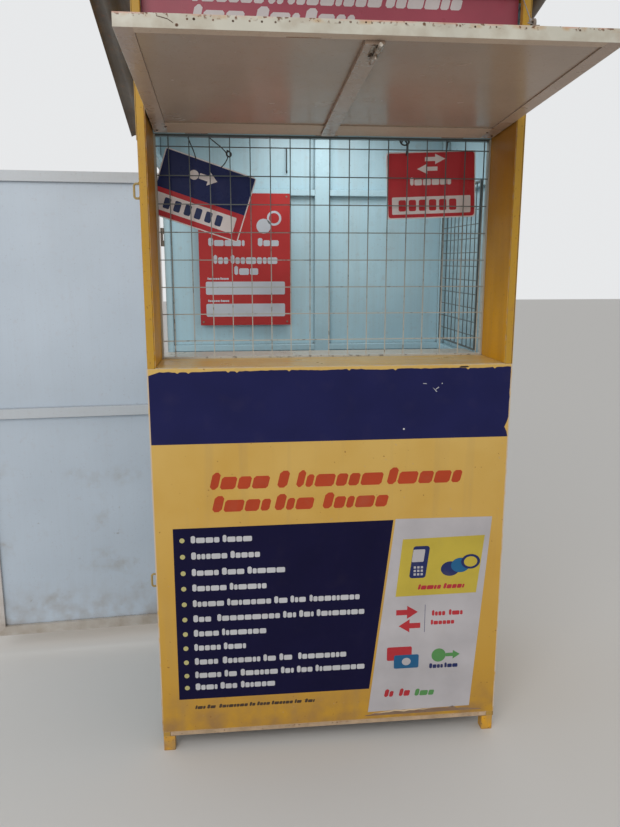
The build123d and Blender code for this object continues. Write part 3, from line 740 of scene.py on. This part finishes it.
tear_left, tear_step, tear_count = 0.120, 0.018, 25
tear_low, tear_foot, tear_high = 0.086, 0.088, 0.013
curl_out, curl_down = 0.004, 0.003
tear_top = []
for step in range(tear_count):
    share = step / (tear_count - 1)
    ragged = 0.010 * noise.noise(Vector((step * 0.7, 2, 0))) + 0.004 * noise.noise(Vector((step * 2.3, 5, 0)))
    swell = min(1, 5 * share, 4 * (1 - share))
    tear_top.append((tear_left + tear_step * step, tear_foot + (tear_high + ragged) * swell))
tear = [(tear_left + tear_step * (tear_count - 1), tear_low), (tear_left, tear_low)] + tear_top
scuffed_steel = worn_paint("scuffed_steel", (0.22, 0.13, 0.085), specks=1.0)
print_piece("torn_patch", [([tear[::-1]], scuffed_steel, 0)])

curl = bmesh.new()
curl_path = [(u, v + 0.001) for u, v in tear_top[1:15]]
rows = []
for step, (u, v) in enumerate(curl_path):
    lift = sin(pi * step / (len(curl_path) - 1))
    rows.append([curl.verts.new((u, -film - lift * share * curl_out, v - lift * share * curl_down))
                 for share in (0, 0.5, 1)])
for first, second in zip(rows, rows[1:]):
    for low, high in ((0, 1), (1, 2)):
        curl.faces.new((first[low], second[low], second[high], first[high]))
curl_data = bpy.data.meshes.new("torn_curl")
curl.to_mesh(curl_data)
curl.free()
curl_data.materials.append(film_finish("curl_film", (0.62, 0.47, 0.30)))
curl_strip = placed("torn_curl_strip", curl_data)
curl_strip.modifiers.new("wall", "SOLIDIFY").thickness = film
ride_slot(plain_mesh(curl_strip, "torn_curl"), "booth")


# Header: the sign sheet between the posts over the flap, steel painted red, with white dummy
# text cut from film.

dress(film_finish("sign_red", (0.345, 0.060, 0.090), 0.30, 0.05, gloss=0.35), "header_sign")
sign_white = film_finish("sign_white", (0.60, 0.55, 0.55))
sign_text = greeked(-0.43, (0.215, 0.045, 0.285, 0.25), 2.450, 2.481, text_slant)
sign_text += greeked(-0.43, (0.17, 0.13, 0.15), 2.386, 2.427, text_slant)
print_piece("sign_text", [(sign_text, sign_white, 0)], origin=(0, sign_low.y, 0))


# Flap: a frame of flat tube with a sheet on top and a lining let in below. It is cream on its
# outer faces, pitted with rust and flaking along the top edge. Below, painted shade makes the
# cream a dull brown gloss.

hinge_place = Vector(frame["joints"][0]["pos_m"])
flap_rise = radians(4.6)
flap_outward = Vector((0, -cos(flap_rise), sin(flap_rise)))
flap_upward = Vector((0, sin(flap_rise), cos(flap_rise)))
flap_length = 0.880
flap_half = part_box("flap_sheet")[1].x
frame_low, bolt_plate_low, edge_top, flap_skin = -0.006, -0.016, 0.024, 0.001
cream = (0.58, 0.555, 0.47)
# The underside's browns are painted shade on cream paint, warmed by the ground's bounce.
underside_shade_brown = (0.395, 0.285, 0.215)
rail_shade_brown = (0.55, 0.43, 0.335)
lining_shade_brown = (0.378, 0.285, 0.218)
edge_ochre = (0.52, 0.34, 0.18)
flaking = (0.60, 0.36, 0.28)


def on_flap(right, out, up):
    """A place on the flap, measured from the middle of its hinge."""
    return hinge_place + Vector((right, 0, 0)) + flap_outward * out + flap_upward * up


def past(tree, direction, limit, soft=0.0004):
    """As beyond, measured from the flap's hinge."""
    return beyond(tree, direction, limit, soft, hinge_place)


def flap_colour(tree, under, streaks=0.15):
    base = weathered(tree, mottled(tree, under, 2.6, 0.86, 1.10), streaks, 0.25, 0.35, 0.95)
    outer = between(tree, patches(tree, 7.0, 0.35, 0.70), tinted(cream, 0.92), tinted(cream, 1.05))
    front = past(tree, flap_outward, flap_length - 0.030, 0.010)
    top = times(tree, front, past(tree, flap_upward, edge_top - 0.008, 0.003))
    outer = over(tree, outer, edge_ochre, patches(tree, 24.0, 0.52, 0.66), top, 0.8)
    outer = over(tree, outer, rust, patches(tree, 90.0, 0.58, 0.64, detail=2.0), top, 0.9)
    rim = times(tree, front, past(tree, flap_upward, edge_top - 0.003, 0.001))
    outer = over(tree, outer, flaking, rim, patches(tree, 13.0, 0.47, 0.56), 0.8)
    outer = over(tree, outer, tinted(rust, 2.2), patches(tree, 9.0, 0.60, 0.72), 0.35)
    outer = over(tree, outer, dust, patches(tree, 1.0, 0.45, 0.74, (22, 5, 22)), 0.40)
    faces = ((flap_outward, flap_length), ((1, 0, 0), flap_half), ((-1, 0, 0), flap_half),
             (flap_upward, edge_top))
    outside = any_of(tree, *(past(tree, direction, limit - flap_skin) for direction, limit in faces))
    return between(tree, outside, base, outer)


dress(finish_of("flap_paint", flap_colour, 0.28, underside_shade_brown, waves=0.3), "flap_side_members")
dress(finish_of("flap_rail_paint", flap_colour, 0.50, rail_shade_brown, gloss=0.10), "flap_long_members")
dress(finish_of("lining_paint", flap_colour, 0.24, lining_shade_brown, waves=0.3, gloss=0.22), "flap_lining")
dress(finish_of("flap_top_paint", flap_colour, 0.45, cream, 0.4), "flap_sheet")

pit_rust_and_hole_shade = worn_paint("pit_rust_and_hole_shade", (0.050, 0.026, 0.014), streaks=0.0, specks=1.0, roughness=0.8)
pit_high = 0.0006
pit_places = (
    (-0.409, 0.0135), (-0.395, 0.0140), (-0.355, 0.0133), (-0.313, 0.0126), (-0.278, 0.0137),
    (-0.252, 0.0132), (-0.223, 0.0131), (-0.193, 0.0158), (-0.085, 0.0169), (-0.061, 0.0186),
    (-0.028, 0.0190), (-0.015, 0.0180), (0.060, 0.0190), (0.102, 0.0170), (0.180, 0.0185),
    (0.214, 0.0175), (0.262, 0.0185), (0.330, 0.0180), (0.454, 0.0175),
)
pits = [on_flap(u, flap_length, v) for u, v in pit_places]
heads("flap_pits", pits, flap_outward, pit_rust_and_hole_shade, "flap", 0.0030, pit_high, smallest=0.5)
large_pits = [on_flap(u, flap_length - 0.0004, v) for u, v in ((-0.431, 0.001), (0.100, 0.0195))]
heads("flap_holes", large_pits, flap_outward, pit_rust_and_hole_shade, "flap", 0.0042, pit_high)
screws = [on_flap(u, v, frame_low)
          for u, v in ((-0.5225, 0.084), (-0.553, 0.040), (0.5225, 0.084), (0.553, 0.040))]
heads("flap_screws", screws, -flap_upward, pit_rust_and_hole_shade, "flap", 0.0045, 0.002)

crack_wide = 0.0018
crack_top = [(-0.473, 0.0190), (-0.462, 0.0165), (-0.450, 0.0135), (-0.438, 0.0060)]
crack = crack_top + [(u, v - crack_wide) for u, v in crack_top[::-1]]
# The hole beside the bolt is a flat dark print: painted shade in the hole.
bolt_hole = [(-0.0052, 0.779), (-0.0030, 0.774), (0.0010, 0.776), (0.0018, 0.786), (0.0006, 0.800),
             (-0.0030, 0.803), (-0.0055, 0.795)]
rust_line = [(-0.199, 0.8505), (-0.160, 0.8515), (-0.122, 0.8507), (-0.122, 0.8535), (-0.165, 0.8545),
             (-0.199, 0.853)]
rust_orange = worn_paint("rust_orange", (0.26, 0.12, 0.05), specks=1.0, roughness=0.7)
for name, outline, finish, origin, upward in (
    ("flap_crack", crack, pit_rust_and_hole_shade, on_flap(0, flap_length, 0), flap_upward),
    ("bolt_hole", bolt_hole, pit_rust_and_hole_shade, on_flap(0, 0, bolt_plate_low), flap_outward),
    ("flap_rust_line", rust_line, rust_orange, on_flap(0, 0, frame_low), flap_outward),
):
    print_piece(name, [([outline], finish, 0)], "flap", origin, upward=upward)


# Side door: a mitred frame of flat tube with a middle rail and a sheet on its outer face,
# pale grey-blue inside and yellow outside, smeared with dirt low down, with painted shade and
# grime in its corners.

door_grey = (0.575, 0.655, 0.745)
door_rail_grey = (0.60, 0.64, 0.68)
door_stile_grey = (0.66, 0.615, 0.585)
door_cream = (0.56, 0.52, 0.47)
door_smear = (0.30, 0.24, 0.16)
door_mark = (0.16, 0.12, 0.08)
door_angle = radians(86)
door_normal = Vector((-cos(door_angle), sin(door_angle), 0))
door_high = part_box("door_sheet")[1]
door_corner = Vector((door_high.x, door_high.y, 0))
door_skin = 0.0014


def door_colour(tree, inner, rail_share=0.0):
    base = mottled(tree, inner, 1.9, 0.93, 1.04)
    height = height_of(tree)
    low = ramp(tree, height, 1.02, 0.62)
    smears = times(tree, patches(tree, 5.0, 0.55, 0.72, (1, 1, 1.4)), patches(tree, 30.0, 0.35, 0.65))
    base = over(tree, base, door_smear, low, smears, 0.45)
    base = over(tree, base, door_mark, low, patches(tree, 20.0, 0.70, 0.75), 0.45)
    base = over(tree, base, door_cream, ramp(tree, height, 0.150, 0.138), rail_share)
    base = weathered(tree, base, 0.03, 0.12, 0.35, 0.8, 0.02)
    outside = beyond(tree, door_normal, -door_skin, 0.0003, door_corner)
    return between(tree, outside, base, weathered(tree, yellow, 0.35, 0.5, 0.6, 0.5))


dress(finish_of("door_paint", door_colour, 0.38, door_grey, waves=0.6), "door_sheet")
dress(finish_of("door_rail_paint", door_colour, 0.42, door_rail_grey, 1.0), "door_rails")
dress(finish_of("door_stile_paint", door_colour, 0.42, door_stile_grey), "door_stiles")


# Roof: corrugated zinc on three battens, dull grey-brown, rusting from its edges and below,
# held by a screw with a washer on every second crest.

zinc_dull, zinc_light = (0.112, 0.098, 0.084), (0.156, 0.140, 0.124)
zinc_grey, zinc_dark, zinc_rust = (0.19, 0.185, 0.18), (0.055, 0.045, 0.036), (0.115, 0.062, 0.036)


def roof_colour(tree):
    base = between(tree, patches(tree, 3.0, 0.30, 0.70), zinc_dull, zinc_light)
    base = over(tree, base, zinc_grey, patches(tree, 1.0, 0.45, 0.62, (40, 3, 3)), 0.5)
    base = over(tree, base, zinc_dark, patches(tree, 1.0, 0.46, 0.66, (30, 2, 2)), 0.55)
    base = over(tree, base, zinc_rust, patches(tree, 6.0, 0.46, 0.64), 0.6)
    return weathered(tree, base, 0.3, 0.8, 0.3, 0.4)


dress(finish_of("roof_zinc", roof_colour, 0.5, bump=0.12), "roof_sheet")
dress(worn_paint("batten_paint", (0.15, 0.095, 0.06), streaks=0.3, specks=0.8), "roof_purlins")

roof_slope = atan(0.28)
down_slope = Vector((0, cos(roof_slope), -sin(roof_slope)))
roof_normal = Vector((0, sin(roof_slope), cos(roof_slope)))
frame_top = Vector((0, 0, 2.530))
batten_reaches, crest_lift, wave_pitch = (0.0145, 0.436, 0.8577), 0.0427, 0.076
roof_low, roof_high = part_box("roof_sheet")
wave_count = round((roof_high.x - roof_low.x) / wave_pitch)
wave = (roof_high.x - roof_low.x) / wave_count
roof_screws = [
    Vector((roof_low.x + (step + 0.25) * wave, 0, 0)) + frame_top + down_slope * reach
    + roof_normal * crest_lift
    for reach in batten_reaches for step in range(2, wave_count - 1, 2)
]
screw_steel = worn_paint("screw_steel", (0.24, 0.22, 0.20), specks=1.0, roughness=0.5)
heads("roof_screws", roof_screws, roof_normal, screw_steel, "booth", 0.0055, 0.007, 0.010)


# Hinges, staples, hasps, bolt and ring: plain steel, dull with a film of rust. The staples for
# the padlocks are bent rod, tacked to the left post with two beads at each foot.

bare_steel = worn_paint("bare_steel", (0.22, 0.18, 0.15), streaks=0.2, specks=0.8, roughness=0.5)
dress(bare_steel, "flap_hinge_leaves", "door_hinge_leaves", "flap_hinge_knuckles", "flap_ring")
dress(bare_steel, "door_hinge_knuckles", "door_hasps", "stay_staple")
dress(worn_paint("staple_paint", (0.40, 0.29, 0.10), streaks=0.2, specks=0.9, wear=0.8), "door_staples")
bolt_bright, bolt_dark = (0.62, 0.57, 0.50), (0.22, 0.16, 0.11)


def bolt_colour(tree):
    base = between(tree, patches(tree, 60.0, 0.40, 0.60), bolt_bright, bolt_dark)
    return weathered(tree, base, 0.0, 1.0, 0.0, 0.9)


dress(finish_of("bolt_steel", bolt_colour, 0.35, metallic=0.35), "flap_bolt")
staple_low, staple_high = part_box("door_staples")
staple_half = 0.025
weld_places = []
for middle in (staple_low.z + staple_half, staple_high.z - staple_half):
    for lift in (-0.0195, 0.0235):
        weld_places += [Vector((staple_high.x, staple_low.y + off, middle + lift))
                        for off in (-0.001, 0.0055)]
weld_steel = worn_paint("weld_steel", (0.30, 0.21, 0.09), specks=1.0, roughness=0.6)
heads("staple_welds", weld_places, (-1, 0, 0), weld_steel, "booth", 0.0055, 0.003, smallest=0.7)


# Stay: a wire from the ring near the flap's outer edge up to a staple on the head rail, looped
# through both, with its tails wound round it.

def wires(name, routes, radius, finish, smooth=12):
    """Round wire or cord along smooth routes, each a few points, as one mesh."""
    curve = bpy.data.curves.new(name, "CURVE")
    curve.dimensions = "3D"
    curve.bevel_depth = radius
    curve.bevel_resolution = 2
    curve.use_fill_caps = True
    for route in routes:
        spline = curve.splines.new("NURBS")
        spline.points.add(len(route) - 1)
        for point, place in zip(spline.points, route):
            point.co = (*place, 1)
        spline.order_u = 3
        spline.resolution_u = smooth
        spline.use_endpoint_u = True
    curve.materials.append(finish)
    return plain_mesh(placed(name + "_route", curve), name)


ring_right, ring_out, ring_up = 0.352, 0.865, 0.033
ring_middle = on_flap(ring_right, ring_out, ring_up)
staple_middle = Vector((0.551, 0.002, 2.5099))
stay_radius, eye_radius, eye_offset = 0.0015, 0.008, 0.0115
tail_turns, tail_pitch, tail_points, tail_offset = 11, 0.0034, 8, 2.05
pull = staple_middle - ring_middle
flat_pull = Vector((0, pull.y, pull.z)).normalized()
low_eye = ring_middle + flat_pull * eye_offset
high_eye = staple_middle - flat_pull * eye_offset
run = (high_eye - low_eye).normalized()
eye_normal = run.cross(Vector((1, 0, 0))).normalized()
aside = eye_normal.cross(run)


def wound(foot, way):
    """The route of a tail wound round the wire."""
    route = []
    for step in range(tail_turns * tail_points + 1):
        angle = 2 * pi * step / tail_points
        around = (eye_normal * cos(angle) + aside * sin(angle)) * stay_radius * tail_offset
        route.append(foot + way * (run * (step * tail_pitch / tail_points)) + around)
    return route


def loop(middle):
    """The route of an eye, closed on itself."""
    angles = [pi * step / 12 for step in range(25)]
    return [middle + (run * cos(angle) + aside * sin(angle)) * eye_radius for angle in angles]


stay_from, stay_to = low_eye + run * eye_radius, high_eye - run * eye_radius
straight_run = [stay_from.lerp(stay_to, step / 40) for step in range(41)]
routes = [straight_run, loop(low_eye), loop(high_eye), wound(stay_from, 1), wound(stay_to, -1)]
stay_steel = worn_paint("stay_wire_steel", (0.24, 0.21, 0.19), streaks=0.0, specks=0.8, roughness=0.45)
stay = wires("stay_wire", routes, stay_radius, stay_steel, 4)
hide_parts("flap_stay")
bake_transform(stay)


# Poster: a printed board on the rear wall under the girt, red with two pale fields, held by
# a nail at each corner. Its print is measured from the board's upper left corner.

board_low, board_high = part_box("poster_board")
poster_red = film_finish("poster_red", (0.42, 0.035, 0.035), 0.35, 0.05)
poster_pale = film_finish("poster_pale", (0.50, 0.53, 0.58))
dress(poster_red, "poster_board")
fields = [soft_box(0.025, 0.357, top - 0.054, top, 0.006) for top in (-0.358, -0.450)]
poster_lines = greeked(0.06, (0.06, 0.20), -0.285, -0.258)
poster_lines += greeked(0.145, (0.10,), -0.330, -0.303)
poster_lines += greeked(0.04, (0.15,), -0.212, -0.188)
poster_lines += greeked(0.245, (0.095,), -0.212, -0.188)
for low in (-0.350, -0.442):
    poster_lines += greeked(0.033, (0.05, 0.035), low, low + 0.007)
motif = [round_shape(0.292 + 0.022 * step, -0.115 + 0.016 * step, 0.030) for step in (-1, 1)]
motif_gap = round_shape(0.314, -0.099, 0.021)
nails = [round_shape(u, v, 0.004, 8) for u in (0.012, 0.366) for v in (-0.012, -0.526)]
print_piece("poster_print", [
    (fields + poster_lines + motif, poster_pale, 0), ([motif_gap], poster_red, 1),
    (nails, bare_steel, 1, 4),
], origin=(board_low.x, board_low.y, board_high.z))


# Hanging plates: thin printed steel with round corners, hung behind the mesh's frame on dark
# cords from its head rail. The left one hangs askew, its low corner tucked in by the post.

plate_wide, plate_high, plate_films = 0.315, 0.223, 10
plate_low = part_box("hanging_plates")[0]
cord_dark = worn_paint("cord_dark", (0.028, 0.030, 0.034), streaks=0.0, specks=0.0, wear=0.0, roughness=0.7)
plate_rim = film_finish("plate_rim", (0.80, 0.74, 0.74))
plate_navy = film_finish("plate_navy", (0.020, 0.028, 0.105), 0.3, 0.04, gloss=0.1)
plate_red = film_finish("plate_red", (0.54, 0.040, 0.050), 0.3, 0.08, gloss=0.15)
plate_ink = film_finish("plate_ink", (0.035, 0.050, 0.13), 0.3, 0.04, gloss=0.1)


def plate_piece(name, prints, x, z, tilt, keep=None):
    """A plate with its prints, hung with its middle at a place and turned by an angle."""
    turn = radians(tilt)
    plate = ([inset(0)], plate_rim, 0, plate_films)
    on_plate = [(outlines, finish, plate_films + number) for outlines, finish, number in prints]
    middle = (x, plate_low.y + plate_films * film, z)
    return print_piece(name, [plate] + on_plate, "booth", middle,
                       (cos(turn), 0, sin(turn)), (-sin(turn), 0, cos(turn)), keep)


def inset(gap):
    """Outline of the plate's face, or of a field inside its rim."""
    half, tall = plate_wide / 2 - gap, plate_high / 2 - gap
    return soft_box(-half, half, -tall, tall, 0.010)


plate_marks = (-0.104, -0.068, -0.032, 0.004, 0.040, 0.076)
left_plate = plate_piece("left_plate", [
    ([box_shape(-0.1535, 0.1535, -0.018, 0.1075)], plate_navy, 0),
    ([box_shape(-0.1535, 0.1535, -0.1075, -0.018)], plate_red, 0),
    ([soft_box(-0.147, 0.132, -0.090, -0.034, 0.004)], plate_rim, 1),
    ([soft_box(u - 0.011, u + 0.011, -0.080, -0.044, 0.005) for u in plate_marks], plate_ink, 2),
    ([arrow_shape(0.004, 0.058, 0.062, 0.046), round_shape(-0.045, 0.055, 0.016)], plate_rim, 1),
], -0.418, 1.9144, -18.2, keep=(Vector((plate_low.x + 0.0003, 0, 0)), Vector((-1, 0, 0))))
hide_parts("hanging_plates")
plate_piece("right_plate", [
    ([inset(0.004)], plate_red, 0),
    ([arrow_shape(0.014, 0.086, 0.072, 0.034), arrow_shape(-0.014, 0.054, 0.072, 0.034, -1)], plate_rim, 1),
    (greeked(-0.075, (0.145,), 0.000, 0.020), plate_rim, 1),
    ([soft_box(-0.140, 0.140, -0.096, -0.038, 0.004)], plate_rim, 1),
    ([soft_box(u - 0.013, u + 0.013, -0.086, -0.048, 0.006) for u in plate_marks], plate_red, 2),
], 0.372, 1.9564, 2.3)


def hung(proud, *routes):
    """Routes of x and z, a little in front of the plates."""
    return [[(x, plate_low.y - proud, z) for x, z in route] for route in routes]


rail_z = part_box("grille_head_rail")[0].z + 0.014
cords = hung(
    0.0002,
    ((-0.466, rail_z), (-0.459, 2.095), (-0.437, 2.045), (-0.435, 2.026)),
    ((-0.409, rail_z), (-0.401, 2.108), (-0.325, 2.051), (-0.336, 2.020), (-0.352, 2.006)),
    ((0.285, 2.112), (0.360, 2.1145), (0.424, 2.112), (0.426, 2.095), (0.421, 2.060)),
)
ride_slot(wires("plate_cords", cords, 0.0018, cord_dark), "booth")
knots = hung(
    0.0010,
    ((0.270, rail_z), (0.272, 2.105), (0.286, 2.088), (0.280, 2.052)),
    ((0.260, rail_z), (0.254, 2.102), (0.268, 2.084), (0.291, 2.090), (0.287, 2.110), (0.266, 2.106),
     (0.262, 2.090)),
    ((0.419, 2.112), (0.434, 2.108), (0.430, 2.097), (0.418, 2.102)),
    ((-0.333, 2.060), (-0.316, 2.054), (-0.321, 2.038), (-0.337, 2.045), (-0.330, 2.058)),
    ((-0.466, 2.108), (-0.453, 2.112), (-0.404, 2.110), (-0.398, 2.101)),
)
ride_slot(wires("cord_knots", knots, 0.0026, cord_dark), "booth")


# Hook: a bent end of dark wire that hangs from the top of the rear wall, its foot turned out
# into the room.

hook_x, hook_root = -0.088, back_low.y
hook = [(hook_x - left, hook_root - out, z) for left, out, z in (
    (0, -0.001, 2.152), (0, 0.010, 2.154), (0, 0.012, 2.140), (0, 0.011, 2.085), (0.001, 0.012, 2.060),
    (0, 0.020, 2.050), (0, 0.027, 2.062))]
ride_slot(wires("wall_hook", [hook], 0.0024, cord_dark), "booth")
